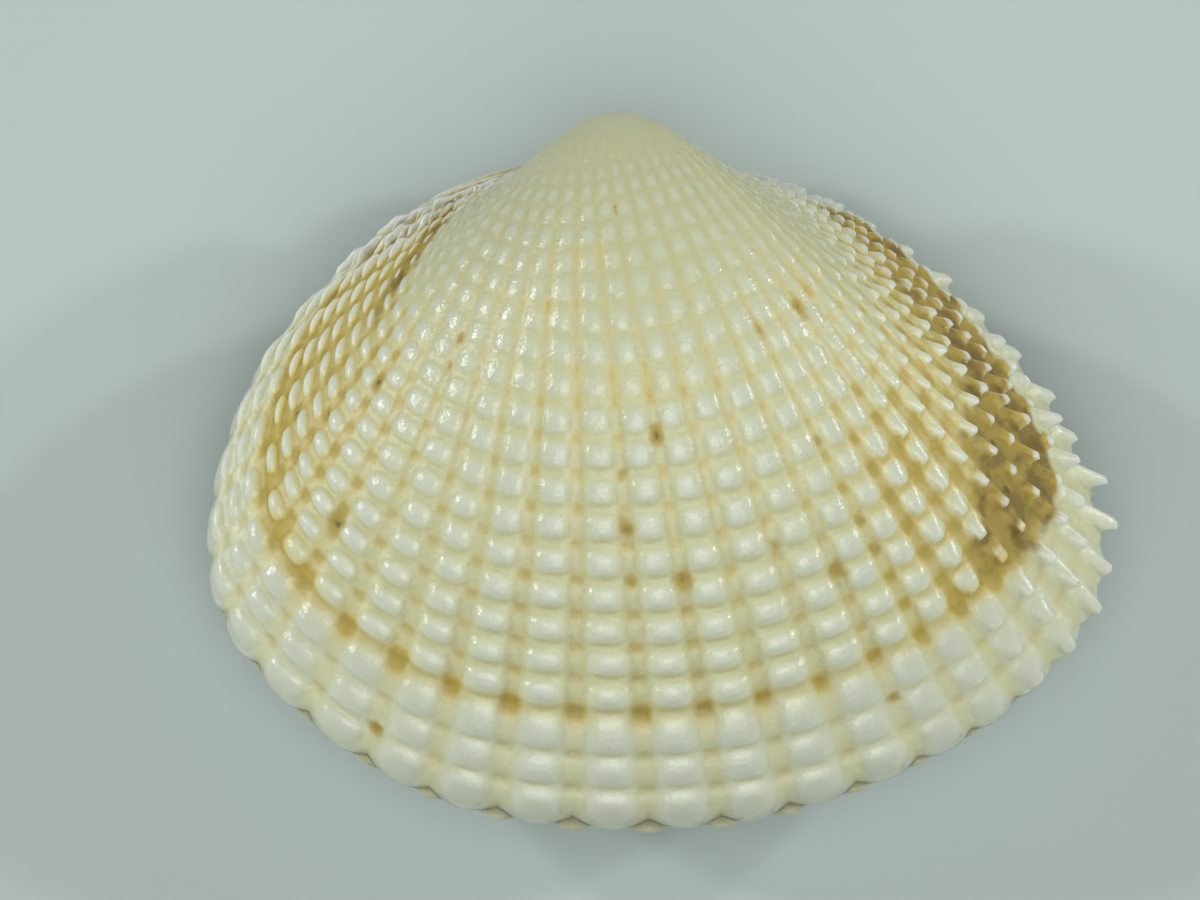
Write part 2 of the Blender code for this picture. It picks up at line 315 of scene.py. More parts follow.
def relief(row, rib, phase, draws):
    """Height, reach and masks, each a sum of outlines times their heights and shares.

    A point lies in the cell of one bead: p runs from -0.5 to 0.5 across the row, and offset does so
    across the rib, with 0 at its crest.
    """
    count = np.clip(np.floor(row + 0.5), 0, ROWS - 1)
    number = np.clip(np.floor(rib - phase), FIRST_RIB, LAST_RIB - 1)
    cell = (count.astype(int), (number - FIRST_RIB).astype(int))
    drawn = [draw[cell] for draw in draws]
    offset = np.clip(rib - phase - number - 0.5, -0.5, 0.5)
    p = row - count
    kinds = kinds_of_relief(row, rib)
    front, rear, middle, new, old, loose, fading = kinds
    lean = row_skew(row, rib) * (1.0 - rear) * (1.0 - LOOSE_STRAIGHTER * loose)
    pillow = bead_outline(offset, p, lean, kinds, drawn)
    tooth = scale_outline(offset, p, drawn[1])
    band = rib_outline(offset, new, rear)
    ridge = np.clip(1.0 - (np.abs(p) / RIDGE_HALF) ** RIDGE_POWER, 0.0, 1.0) * (1.0 - band)

    varies = mix(mix(MIDDLE_VARIES, REAR_VARIES, rear), LOOSE_VARIES, loose) * drawn[0]
    strength = fading * mix(1.0, OLD_BEADS, old) * (1.0 + varies)
    small = mix(1.0, SMALL_SCALE, smooth(*SMALL_SCALE_FADE, rib)) * mix(1.0, OLD_RIBS, old)
    ribs = MIDDLE_RIB * middle + FRONT_RIB * front + REAR_RIB * rear
    height = fading * mix(1.0, OLD_RIBS, old) * band * ribs
    height += strength * pillow * (mix(*MIDDLE_BEAD, new) * middle + mix(*FRONT_BEAD, new) * front)
    height += fading * loose * (LOOSE_BEAD * pillow + GRIT_HEIGHT * grit(row, rib))
    height += strength * tooth * rear * small * SCALE_HEIGHT
    height += ridge * mix(*RIDGE_HEIGHT, new) * (1.0 - rear) * strength
    height -= fading * (GROOVE_DEPTH + STOP_DEPTH * hump(row, STOP_ROW, STOP_SPREAD))
    longer = 1.0 - smooth(*LONG_SCALE_FADE, row)
    reach = strength * tooth * rear * small * mix(*SCALE_REACH, longer)
    bead = fading * np.clip(pillow * (1.0 - rear) + rear * tooth, 0.0, 1.0)
    pits = smooth(*PIT_SPAN, np.abs(p))
    return height, reach, {"bead": bead, "band": band, "pits": pits}


print("beads on one valve:", ROWS * (LAST_RIB - FIRST_RIB))

# %% [markdown]
# ## A closed valve as one grid
# Each row of the grid runs round the margin from the beak and back to it, so rows are rings. Rings
# are closer where the relief is steep. Towards the umbo and inside the valve half or a quarter of the
# columns are enough, and a ring with half the columns is joined by three triangles to a step.

# %% Columns and rings of the grid
RIB_STEPS = np.array([0.0, 0.09, 0.16, 0.22, 0.28, 0.35, 0.43, 0.5, 0.57, 0.65, 0.72, 0.78, 0.84, 0.91])
NEW_STEPS = np.array([-0.5, -0.45, -0.41, -0.36, -0.30, -0.22, -0.11, 0.0, 0.11, 0.22, 0.32, 0.41])
OLD_STEPS = np.array([-0.5, -0.43, -0.37, -0.31, -0.22, -0.08, 0.08, 0.22, 0.32, 0.41])
FAINT_STEPS = np.array([-0.5, -0.41, -0.32, -0.15, 0.1, 0.3])
SMOOTH_STEPS = np.array([-0.5, -0.3, 0.0, 0.3])
OLD_FROM, FAINT_FROM, SMOOTH_FROM = len(NEW_ROWS), 12, 20
FRONT_COLUMNS = 8
REAR_COLUMNS = 12
BEAK_TURNS = np.array([1.50, 1.60, 1.72, 1.86, 2.02, 2.22, BEAK_TURN])


def ring_columns(phase):
    """Rib numbers of the columns: RIB_STEPS in every rib, and even steps by the hinge."""
    ribs = np.arange(FIRST_RIB, LAST_RIB)[:, None] + RIB_STEPS[None, :] + phase
    front = np.linspace(MARGIN_START, FIRST_RIB + phase, FRONT_COLUMNS, endpoint=False)
    rear = np.linspace(LAST_RIB + phase, MARGIN_END, REAR_COLUMNS, endpoint=False)
    return np.concatenate([front, ribs.ravel(), rear])


def steps_in_rows(first, last, steps):
    """Row numbers of the rings from one row up to another."""
    return (np.arange(first, last)[:, None] + steps[None, :]).ravel()


FINE_RINGS = np.concatenate([
    steps_in_rows(0, OLD_FROM, NEW_STEPS),
    steps_in_rows(OLD_FROM, FAINT_FROM, OLD_STEPS),
])
HALF_RINGS = np.concatenate([
    steps_in_rows(FAINT_FROM, SMOOTH_FROM, FAINT_STEPS),
    steps_in_rows(SMOOTH_FROM, ROWS, SMOOTH_STEPS),
])
print("columns:", len(ring_columns(0.0)), "rings:", len(FINE_RINGS), "and", len(HALF_RINGS))

# %% [markdown]
# ## Where the two valves meet
# The rib ends of one valve fit into the groove ends of the other, so a closed pair shows no slit. The
# edge follows a cosine of the rib number, and the other valve follows the same one with a hair of
# room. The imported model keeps 0.3 mm between the valves, and here each edge is drawn down to close it.

# %% The outer face with its relief
EDGE_WAVE = 0.08
EDGE_ROOM = 0.01
EDGE_BLEND = 0.032
PULL_BLEND = 0.045
EDGE_PULL = ((0.16, 0.03), (0.40, 0.26))
REAR_PULL = 0.22
VENTRAL_REACH = 0.30
VENTRAL_HUMP = (1.0, 7.5)
LOWER_REACH = 0.3
CREST_POWER = 0.4
ROUNDING = 0.011
HEIGHT_AT_EDGE = 0.35
REACH_AT_EDGE = 0.3
LEAST_HEIGHT = 0.55


def crest_share(rib, phase):
    """1 at the crests of the ribs, 0 in the grooves: a cosine of the rib number."""
    return 0.5 + 0.5 * np.cos(2.0 * math.pi * (rib - phase - 0.5))


def edge_line(rib, phase):
    """Height of the edge: low at the rib crests, high in the grooves, faded by the hinge."""
    wave = 1.0 - 2.0 * crest_share(rib, phase)
    return EDGE_ROOM + EDGE_WAVE * wave * axis_share(rib, DEPTH_FROM_AXIS) ** 2


def outer_points(turn, row, rib, phase, draws, lower):
    """Smooth face plus width times (height along the normal and reach along the growth)."""
    face = valve_surface(turn, rib)
    normal, growth, width = surface_frame(turn, rib)
    height, reach, masks = relief(row, rib, phase, draws)
    ribbed = smooth(FIRST_RIB + phase - 1.0, FIRST_RIB + phase, rib)
    ribbed *= 1.0 - smooth(LAST_RIB + phase, LAST_RIB + phase + 1.0, rib)
    up = ribbed * axis_share(rib, HEIGHT_FROM_AXIS)
    down = ribbed * axis_share(rib, DEPTH_FROM_AXIS)
    rounded = np.sqrt(1.0 - (1.0 - np.clip(turn / ROUNDING, 0.0, 1.0)) ** 2)
    height = np.where(height > 0.0, height * up, height * down) * mix(HEIGHT_AT_EDGE, 1.0, rounded)
    crest = crest_share(rib, phase) ** CREST_POWER
    near = 1.0 - smooth(0.0, PULL_BLEND, turn)
    out = VENTRAL_REACH * hump(rib, *VENTRAL_HUMP) * crest - REAR_PULL * smooth(*REAR_FADE, rib)
    short = mix(*EDGE_PULL[lower], crest) * near - lower * out * near
    reach = reach * up * mix(REACH_AT_EDGE, 1.0, rounded) * (LOWER_REACH if lower else 1.0) - short * down
    points = face + width * (normal * height[..., None] + growth * reach[..., None])
    points[..., 2] = np.maximum(points[..., 2], LEAST_HEIGHT * face[..., 2])
    edge = edge_line(rib, phase)
    points[..., 2] += mix(edge, 0.5 * EDGE_GAP, smooth(0.0, EDGE_BLEND, turn))
    points[..., 2] = np.where(turn == 0.0, edge, points[..., 2])
    return points, masks


# %% The rim and the inner face
INSIDE_SCALE = 0.86
INSIDE_CENTRE = np.array([0.8, -6.4, 0.0])
RIM = ((0.985, 1), (0.95, 1), (0.90, 2))
INSIDE_TURNS = np.array([0.0, 0.08, 0.18, 0.32, 0.5, 0.7, 0.95, 1.25, 1.6, 2.0])


def inner_rings(columns, edge):
    """The rim slopes from the edge to the inner face, the outer one scaled about its middle."""
    rings = []
    for scale, thin in RIM:
        flat = mix(INSIDE_CENTRE[:2], edge[::thin, :2], scale)
        level = mix(EDGE_ROOM, edge[::thin, 2], smooth(INSIDE_SCALE, 1.0, scale))
        rings.append(np.column_stack([flat, level]))
    turn, rib = np.meshgrid(INSIDE_TURNS, columns[::4], indexing="ij")
    inner = mix(INSIDE_CENTRE, valve_surface(turn, rib), INSIDE_SCALE)
    inner[..., 2] += EDGE_ROOM
    return rings + list(inner)


print("rings of the rim and the inner face:", len(RIM) + len(INSIDE_TURNS))

# %% [markdown]
# ## From rings to a mesh
# A ring is a closed row of points. Joining rings is index arithmetic on whole arrays: one array of
# quads for two rings of the same length, and three arrays of triangles where the next has half.

# %% Join rings and close the ends


def join_rings(first, size, next_first, next_size):
    """Faces between two rings, given as the index of their first point and their length."""
    here = np.arange(size)
    there = np.arange(next_size)
    after = (there + 1) % next_size
    if size == next_size:
        return [np.column_stack([first + here, first + after, next_first + after, next_first + here])]
    a = first + 2 * there
    c = first + (2 * there + 2) % size
    return [
        np.column_stack([a, a + 1, next_first + there]),
        np.column_stack([a + 1, next_first + after, next_first + there]),
        np.column_stack([a + 1, c, next_first + after]),
    ]


def join_all(starts, sizes, last_point):
    """Faces of a run of rings, each given by its first index and its length, closed by one point."""
    faces = []
    for i in range(len(sizes) - 1):
        faces += join_rings(starts[i], sizes[i], starts[i + 1], sizes[i + 1])
    here = np.arange(sizes[-1])
    after = (here + 1) % sizes[-1]
    faces.append(np.column_stack([starts[-1] + here, starts[-1] + after, np.full(len(here), last_point)]))
    return faces


def mesh_from_rings(name, outer, inner, mirrored):
    """A closed mesh: outer rings up to the beak, and inner ones from the same edge, the other way."""
    rings = outer + inner
    sizes = [len(ring) for ring in rings]
    starts = np.concatenate([[0], np.cumsum(sizes)])
    split = len(outer)
    ends = [outer[-1].mean(axis=0)[None], inner[-1].mean(axis=0)[None]]
    points = np.vstack(rings + ends)
    outwards = join_all(starts[:split], sizes[:split], starts[-1])
    inwards = join_all(
        np.concatenate([[0], starts[split:-1]]), [sizes[0]] + sizes[split:], starts[-1] + 1
    )
    if mirrored:
        outwards, inwards = inwards, outwards
    faces = outwards + [face[:, ::-1] for face in inwards]
    mesh = bpy.data.meshes.new(name)
    mesh.from_pydata(points.tolist(), [], [face for block in faces for face in block.tolist()])
    mesh.shade_smooth()
    triangles = sum(len(face) - 2 for face in (polygon.vertices for polygon in mesh.polygons))
    print(name, "points:", len(points), "triangles:", triangles)
    return mesh


# %% [markdown]
# ## How the shell lies
# The valves meet in a level plane, and the pair lies on the fullest part of the lower valve. That side
# can't be seen, so the way it rests is a guess: a quarter of a millimetre is cut flat, as in the packed
# model, and every point below the floor is brought up to it.

# %% The placement of the shell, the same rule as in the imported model
SPOT_DEPTH = 0.24
SPOT_TURNS = (0.0, 1.56)
SPOT_RIBS = (-14.0, 22.0)
SEARCH_STEPS = 341


def rest_placement():
    """The move that brings the flat spot to the origin, in millimetres."""
    turns, ribs = np.linspace(*SPOT_TURNS, SEARCH_STEPS), np.linspace(*SPOT_RIBS, SEARCH_STEPS)
    lower = valve_surface(*np.meshgrid(turns, ribs, indexing="ij")).reshape(-1, 3)
    lower[:, 2] = -lower[:, 2] - 0.5 * EDGE_GAP
    lowest = lower[lower[:, 2].argmin()]
    return -lowest - np.array([0.0, 0.0, SPOT_DEPTH])


MOVE = rest_placement()
print("move, mm:", MOVE.round(3).tolist())

# %% [markdown]
# ## Stains follow the growth
# The stain is ochre where dust and old skin stayed: in the grooves, most in the pits between ridges,
# and along the step where growth paused. Towards the rear end that step holds brown dirt. Each dark
# speck sits in one pit, so its place is a groove and a row, found from its place in the photo. Masks
# worked out with the grid stay on the surface from any side, which a projected picture wouldn't.

# %% Places in grooves, ribs and rows
# A speck is (groove, row, size, darkness), and a patch of stain is (row, rib, spread, strength).
SPECKS = (
    (1, 6.5, 0.7, 0.55), (1, 8.0, 0.9, 0.75), (1, 9.5, 0.8, 0.55), (2, 10.5, 1.0, 0.85),
    (2, 6.4, 1.0, 0.85), (6, 12.5, 0.9, 0.70), (8, 12.4, 1.2, 0.80), (-6, 9.3, 0.9, 1.0),
    (-5, 5.0, 1.1, 0.95), (-8, 4.4, 0.8, 0.95), (-7, 6.6, 0.5, 0.90), (-9, 9.9, 0.8, 0.80),
    (-11, 9.6, 0.9, 1.0), (-4, 12.6, 0.8, 0.70), (-4, 11.5, 0.7, 0.60), (5, 5.4, 1.0, 0.80),
    (6, 6.4, 0.7, 0.65), (6, 5.5, 0.8, 0.65), (4, 6.8, 0.6, 0.65), (6, 9.0, 0.6, 0.65),
    (-3, 0.5, 0.7, 0.75), (5, 1.5, 0.6, 0.65), (10, 7.5, 0.8, 0.70), (16, 5.8, 0.9, 1.0),
    (11, 4.4, 0.9, 1.0), (10, 3.5, 0.9, 1.0), (11, 2.0, 0.8, 0.95), (13, 0.9, 0.5, 0.90),
    (2, 18.0, 0.6, 0.80),
)
PATCHES = (
    (11.9, 2.0, 3.0, 0.45), (14.4, -1.5, 2.5, 0.45), (16.2, 0.5, 1.6, 0.40),
    (3.4, -8.3, 1.0, 1.00), (2.6, 8.8, 1.4, 1.00), (2.6, -4.8, 0.8, 0.60), (2.6, -2.8, 0.8, 0.40),
    (12.8, 8.5, 1.2, 0.60), (3.0, -6.0, 0.7, 0.80),
)
# Dirt: the rib with its first and last row at the rear, and the rib with its middle row at the front.
REAR_DIRT = (
    (7.2, 2.5, 3.4), (8.6, 2.4, 5.0), (10.0, 2.2, 7.2), (11.6, 1.5, 7.6), (13.0, 1.5, 8.0),
    (14.5, 1.7, 8.4), (16.5, 1.0, 8.4), (18.5, 0.2, 8.0), (21.0, 0.0, 7.0),
)
FRONT_DIRT = ((-14.6, 6.8), (-13.3, 7.2), (-12.2, 9.0), (-10.8, 10.8), (-9.6, 10.6), (-8.6, 9.6))
print("specks:", len(SPECKS), "patches:", len(PATCHES))

# %% Masks of dirt and specks
REAR_DIRT_START, REAR_DIRT_END = (6.5, 9.5), (19.0, 21.0)
FRONT_DIRT_START, FRONT_DIRT_END = (-16.0, -14.0), (-9.0, -7.5)
DIRT_EDGE, DENSE_PART = (-0.6, 0.5), 0.25
FRONT_DIRT_SHARE, FRONT_DIRT_SPREAD = 0.75, 1.3
SPECK_ACROSS, SPECK_ALONG = 0.24, 0.42


def dirt_mask(row, rib):
    """Rear dirt between two lines of rows, densest at its outer side, and a lane of front dirt."""
    ribs, outer, inner = np.array(REAR_DIRT).T
    first, last = np.interp(rib, ribs, outer), np.interp(rib, ribs, inner)
    dirt = smooth(first + DIRT_EDGE[0], first + DIRT_EDGE[1], row)
    dirt = dirt * (1.0 - smooth(mix(first, last, DENSE_PART), last, row))
    dirt *= smooth(*REAR_DIRT_START, rib) * (1.0 - smooth(*REAR_DIRT_END, rib))
    ribs, rows = np.array(FRONT_DIRT).T
    lane = smooth(*FRONT_DIRT_START, rib) * (1.0 - smooth(*FRONT_DIRT_END, rib))
    lane_rows = hump(row, np.interp(rib, ribs, rows), FRONT_DIRT_SPREAD)
    return np.maximum(dirt, FRONT_DIRT_SHARE * lane * lane_rows)


def speck_mask(row, rib, phase):
    """The strongest of the specks' bells, each in the cell of one pit."""
    speck = np.zeros(row.shape)
    for groove_number, speck_row, size, darkness in SPECKS:
        across = (rib - phase - groove_number) / (SPECK_ACROSS * size)
        along = (row - speck_row) / (SPECK_ALONG * size)
        speck = np.maximum(speck, darkness * np.exp(-(across**2) - along**2))
    return speck


print("dirt at rib 14, row 4:", round(float(dirt_mask(4.0, 14.0)), 2))

# %% Masks of stain
GROOVE_STAIN, GROOVE_ROWS = (0.50, 0.85), (1.8, 2.8)
UMBO_STAIN, UMBO_TURNS = 0.6, (0.5, 0.85)
SHALLOW_STAIN, SHALLOW_TURNS, PIT_STAIN = (0.20, 0.5), (0.4, 0.9), 0.90
CLEAN_BEADS = 1.6
GROUND_ROWS = (2.2, 3.0)
FRONT_STAIN_RIBS, FRONT_STAIN_ROWS = (-9.0, -3.0), (9.0, 13.0)
REAR_STAIN_START, REAR_STAIN_END, REAR_STAIN_ROWS = (4.5, 8.0), (15.0, 19.0), (7.0, 11.0)
FRONT_GROUND, REAR_GROUND = 0.95, 0.85
STOP_OFFSET, STOP_WIDTH, STOP_CLEAN = 0.05, (0.32, 0.6), 0.8
STOP_STAIN = (0.50, 0.80)
PATCH_ROWS, PATCH_ON_RIBS = 0.5, 0.6
BEAD_SHEDS_DIRT, SHEDDING = 0.75, (0.45, 0.9)
MOST_OCHRE = 1.6


def stain_masks(row, rib, phase, masks):
    """Shares of ochre, dirt and speck, each a product of soft steps and bells in row and rib."""
    turn = turn_of(row)
    groove = 1.0 - masks["band"]
    ground = 1.0 - np.clip(CLEAN_BEADS * masks["bead"], 0.0, 1.0)
    level = mix(*GROOVE_STAIN, smooth(*GROOVE_ROWS, row)) * mix(1.0, UMBO_STAIN, smooth(*UMBO_TURNS, turn))
    shallow = mix(*SHALLOW_STAIN, smooth(*SHALLOW_TURNS, turn))
    ochre = groove * mix(shallow, PIT_STAIN, masks["pits"]) * level
    front = (1.0 - smooth(*FRONT_STAIN_RIBS, rib)) * (1.0 - smooth(*FRONT_STAIN_ROWS, row))
    rear = smooth(*REAR_STAIN_START, rib) * (1.0 - smooth(*REAR_STAIN_END, rib))
    rear = rear * (1.0 - smooth(*REAR_STAIN_ROWS, row))
    ochre += ground * smooth(*GROUND_ROWS, row) * (FRONT_GROUND * front + REAR_GROUND * rear)
    stop = hump(row, STOP_ROW + STOP_OFFSET, mix(*STOP_WIDTH, front)) * (1.0 - STOP_CLEAN * masks["bead"])
    ochre += stop * mix(mix(*STOP_STAIN, groove), 1.0, front)
    for middle_row, middle_rib, spread, strength in PATCHES:
        patch = strength * hump(row, middle_row, PATCH_ROWS) * hump(rib, middle_rib, spread)
        ochre += patch * mix(PATCH_ON_RIBS, 1.0, groove)
    dirt = dirt_mask(row, rib) * (1.0 - BEAD_SHEDS_DIRT * smooth(*SHEDDING, masks["bead"]))
    ribbed = smooth(FIRST_RIB, FIRST_RIB + 1.0, rib) * (1.0 - smooth(LAST_RIB - 1.0, LAST_RIB, rib))
    speck = speck_mask(row, rib, phase)
    return {"ochre": np.clip(ochre * ribbed, 0.0, MOST_OCHRE), "dirt": dirt * ribbed, "speck": speck}


print("ochre in a groove of a new and an old row:", GROOVE_STAIN)

# %% [markdown]
# ## The two valves
# Both valves come from the same rule. The lower one is half a rib further on and mirrored, which is
# how the rib ends interlock. It has its own seed, so its beads aren't the mirror image of the others.

# %% Rings of one valve, with their masks
# The masks of a valve, each with its value on the rim and the inner face.
MASKS = {
    "bead": 0.0, "band": 1.0, "ochre": 0.0, "dirt": 0.0, "speck": 0.0,
    "edge": 1.0, "age": 1.0, "fresh_and_lit": 0.0,
}
EDGE_TURN = 0.035
AGE_TURNS = (0.15, 1.3)
# The young wall by the margin: paler new shell plus painted light, fading out over these rows.
FRESH_AND_LIT_ROWS = (2.0, 2.7)
FRESH_AND_LIT_GROOVE = 0.3


def valve_rings(phase, draws, lower):
    """Outer rings with their masks: all columns, then half of them, then a quarter up to the beak."""
    columns = ring_columns(phase)
    rings, layers = [], []
    for rows, thin in ((FINE_RINGS, 1), (HALF_RINGS, 2)):
        row, rib = np.meshgrid(rows, columns[::thin], indexing="ij")
        points, masks = outer_points(turn_of(row), row, rib, phase, draws, lower)
        masks.update(stain_masks(row, rib, phase, masks))
        masks["speck"] *= not lower
        # Rib ends of the lower valve, for grey dirt with painted shade.
        masks["edge"] = lower * (1.0 - smooth(0.0, EDGE_TURN, turn_of(row)))
        masks["age"] = smooth(*AGE_TURNS, turn_of(row))
        # Paler new shell with painted light on the steep wall by the margin, weaker in the grooves.
        fresh_and_lit = (1.0 - smooth(*FRESH_AND_LIT_ROWS, row)) * (1.0 - masks["edge"])
        masks["fresh_and_lit"] = fresh_and_lit * mix(FRESH_AND_LIT_GROOVE, 1.0, masks["band"])
        rings += list(points)
        layers.append(masks)
    turn, rib = np.meshgrid(BEAK_TURNS, columns[::4], indexing="ij")
    layers.append({key: np.full(turn.shape, float(key in ("band", "age"))) for key in MASKS})
    beak = valve_surface(turn, rib) + np.array([0.0, 0.0, 0.5 * EDGE_GAP])
    return rings + list(beak), layers, columns


print("masks:", ", ".join(MASKS))

# %% Build the valves


def build_valve(name, node, phase, seed, mirrored):
    """Build one valve at rest in metres, store its masks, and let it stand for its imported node."""
    outer, layers, columns = valve_rings(phase, bead_draws(seed), mirrored)
    mesh = mesh_from_rings(name, outer, inner_rings(columns, outer[0]), mirrored)
    points = np.empty(3 * len(mesh.vertices))
    mesh.vertices.foreach_get("co", points)
    points = points.reshape(-1, 3) * np.array([1.0, 1.0, -1.0 if mirrored else 1.0]) + MOVE
    points[:, 2] = np.maximum(points[:, 2], 0.0)
    mesh.vertices.foreach_set("co", (points * MM).ravel())
    for key, rest in MASKS.items():
        values = np.full(len(points), rest)
        known = np.concatenate([masks[key].ravel() for masks in layers])
        values[:len(known)] = known
        mesh.attributes.new(key, "FLOAT", "POINT").data.foreach_set("value", values.astype(np.float32))
    mesh.update()
    valve = bpy.data.objects.new(name, mesh)
    bpy.context.scene.collection.objects.link(valve)
    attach(valve, "root")
    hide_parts(node)
    return valve


left_valve = build_valve("beaded_left_valve", "left_valve", 0.0, BEAD_SEED, False)
right_valve = build_valve("beaded_right_valve", "right_valve", 0.5, BEAD_SEED + 1, True)

# %% [markdown]
# ## Shader maths as expressions
# A material is a graph of nodes. Wrapping one socket in a small class lets a mask be written as
# arithmetic, so that 1 - mask adds its own Math node and a material reads like its recipe.

# %% One socket with arithmetic


class Wire:
    """One output of a node, or the start of a tree, on which arithmetic adds Math nodes."""

    def __init__(self, tree, socket=None):
        self.tree = tree
        self.socket = socket

    def node(self, kind, settings, inputs, output=0):
        """Add a node of a kind: its settings first, then its sockets. Return one of its outputs."""
        made = self.tree.nodes.new(kind)
        for name, value in settings.items():
            setattr(made, name, value)
        for name, value in inputs.items():
            if isinstance(value, Wire):
                self.tree.links.new(value.socket, made.inputs[name])
            else:
                made.inputs[name].default_value = value
        return Wire(self.tree, made.outputs[output])

    def math(self, operation, first, second):
        return self.node("ShaderNodeMath", {"operation": operation}, {0: first, 1: second})

    def __add__(self, other):
        return self.math("ADD", self, other)

    def __radd__(self, other):
        return self.math("ADD", other, self)

    def __sub__(self, other):
        return self.math("SUBTRACT", self, other)

    def __rsub__(self, other):
        return self.math("SUBTRACT", other, self)

    def __mul__(self, other):
        return self.math("MULTIPLY", self, other)

    def __rmul__(self, other):
        return self.math("MULTIPLY", other, self)

    def clamp(self):
        return self.node("ShaderNodeClamp", {}, {"Value": self})

    def smooth(self, low, high):
        """Smooth step of this value from 0 at low to 1 at high."""
        ends = {"Value": self, "From Min": low, "From Max": high}
        return self.node("ShaderNodeMapRange", {"interpolation_type": "SMOOTHSTEP"}, ends)

    def blend(self, first, second):
        """The first colour where this value is 0, the second where it is 1."""
        return self.node("ShaderNodeMix", {"data_type": "RGBA"}, {0: self, 6: first, 7: second}, 2)

    def attribute(self, name):
        return self.node("ShaderNodeAttribute", {"attribute_name": name}, {}, "Fac")

    def noise(self, scale, detail=3.0, roughness=0.5):
        """Noise on Object coordinates, with scale in cells to the metre."""
        place = self.node("ShaderNodeTexCoord", {}, {}, "Object")
        inputs = {"Vector": place, "Scale": scale, "Detail": detail, "Roughness": roughness}
        return self.node("ShaderNodeTexNoise", {}, inputs, "Fac")


def surface(name, fixed):
    """A material with a Principled shader, its constant sockets set, and the start of its tree."""
    material = bpy.data.materials.new(name)
    material.use_nodes = True
    shader = material.node_tree.nodes["Principled BSDF"]
    for key, value in fixed.items():
        shader.inputs[key].default_value = value
    return material, Wire(material.node_tree), shader


def feed(wire, shader, key):
    """Link a wire to one socket of the shader."""
    wire.tree.links.new(wire.socket, shader.inputs[key])


print("shader helpers ready")

# %% [markdown]
# ## Shell
# Fresh shell looks like porcelain with a satin gloss. Light goes a little way in, so edges are soft and
# shadows between the beads stay warm. The tops of the beads are clean and whiter, with a bluish sheen
# painted into their colour, the saddles between them are ivory, and the grooves hold ochre. The young
# wall by the margin is paler new shell with painted light on it, and the rib ends of the lower valve
# are grey dirt with painted shade. Noise on Object coordinates breaks every mask, because a stain has
# no even edge.

# %% Shell material
IVORY = (0.65, 0.655, 0.40, 1.0)
# Bead tops: cleaner, whiter shell with a painted bluish sheen.
BEAD_WHITE_AND_SHEEN = (0.60, 0.645, 0.54, 1.0)
OLD_IVORY = (0.54, 0.55, 0.35, 1.0)
# Paler new shell by the margin, with painted light where the steep wall gets little lamp light.
FRESH_WHITE_AND_LIGHT = (0.66, 0.685, 0.50, 1.0)
OCHRE = (0.66, 0.605, 0.29, 1.0)
DEEP_OCHRE = (0.53, 0.42, 0.09, 1.0)
DIRT_OCHRE = (0.42, 0.32, 0.07, 1.0)
DIRT_BROWN = (0.24, 0.175, 0.035, 1.0)
STAIN_BROWN = (0.48, 0.38, 0.09, 1.0)
SPECK_BROWN = (0.17, 0.12, 0.04, 1.0)
# Lower valve rib ends: grey dirt, with painted shade where they lie low under the upper valve.
EDGE_DIRT_AND_SHADE = (0.42, 0.42, 0.27, 1.0)
# Noise in cells to the metre.
CLOUD, SOIL, PATCHY, GRAIN, FINE = 900.0, 2200.0, 2600.0, 4200.0, 11000.0
SOIL_DETAIL = 4.0
# Roughness of clean shell, and what gloss takes off and cloud and dirt put on.
SATIN, GLOSS, CLOUDED, SOILED = 0.34, 0.16, 0.08, 0.32
BUMP_DEPTH, GRAIN_SHARE, FINE_SHARE = 0.000028, 0.45, 0.55
# How far the noises thicken and thin each mask, and the level that is cut off.
OCHRE_CLOUD, OCHRE_PATCHY = 1.0, 1.1
DIRT_LEVEL, DIRT_GRAIN, DIRT_PATCHY, DIRT_CUT = 1.6, 0.6, 1.0, 1.05
SPECK_GRAIN, SPECK_CUT = 0.8, 0.40
# The values of a mask between which each layer comes in.
OCHRE_SPAN, DEEP_SPAN, DIRT_SPAN, SOIL_SPAN = (0.0, 0.95), (0.50, 1.50), (0.0, 0.8), (0.42, 0.62)
STAIN_SPAN, SPECK_SPAN, ROUGH_SPAN, GLOSS_SPAN = (0.15, 0.75), (0.72, 1.0), (0.3, 0.7), (0.02, 0.40)
LEAST_WHITE, CLOUD_WHITE, WORN_WHITE = 0.7, 0.6, 0.6
OCHRE_ROUGH = 0.2


def shell_colour(start, bead, cloud, ochre, dirt, speck):
    """Ivory, whitened with a painted bluish sheen on the beads and paler with painted light on the young
    wall, then ochre, grey dirt with painted shade on the lower rib ends, dirt and specks, laid over by
    their broken masks.
    """
    colour = start.attribute("age").blend(IVORY, OLD_IVORY)
    # Painted bluish sheen and cleaner shell on the bead tops, weaker on old rows.
    white_and_sheen = bead * (LEAST_WHITE + CLOUD_WHITE * cloud) * (1.0 - WORN_WHITE * start.attribute("age"))
    # Paler new shell with painted light on the steep wall by the margin.
    colour = start.attribute("fresh_and_lit").blend(colour, FRESH_WHITE_AND_LIGHT)
    colour = white_and_sheen.clamp().blend(colour, BEAD_WHITE_AND_SHEEN)
    colour = ochre.smooth(*OCHRE_SPAN).blend(colour, OCHRE)
    colour = ochre.smooth(*DEEP_SPAN).blend(colour, DEEP_OCHRE)
    # Painted shade with grey dirt on the rib ends of the lower valve.
    colour = start.attribute("edge").blend(colour, EDGE_DIRT_AND_SHADE)
    colour = speck.smooth(*STAIN_SPAN).blend(colour, STAIN_BROWN)
    soil = start.noise(SOIL, SOIL_DETAIL).smooth(*SOIL_SPAN).blend(DIRT_OCHRE, DIRT_BROWN)
    colour = dirt.blend(colour, soil)
    return speck.smooth(*SPECK_SPAN).blend(colour, SPECK_BROWN)


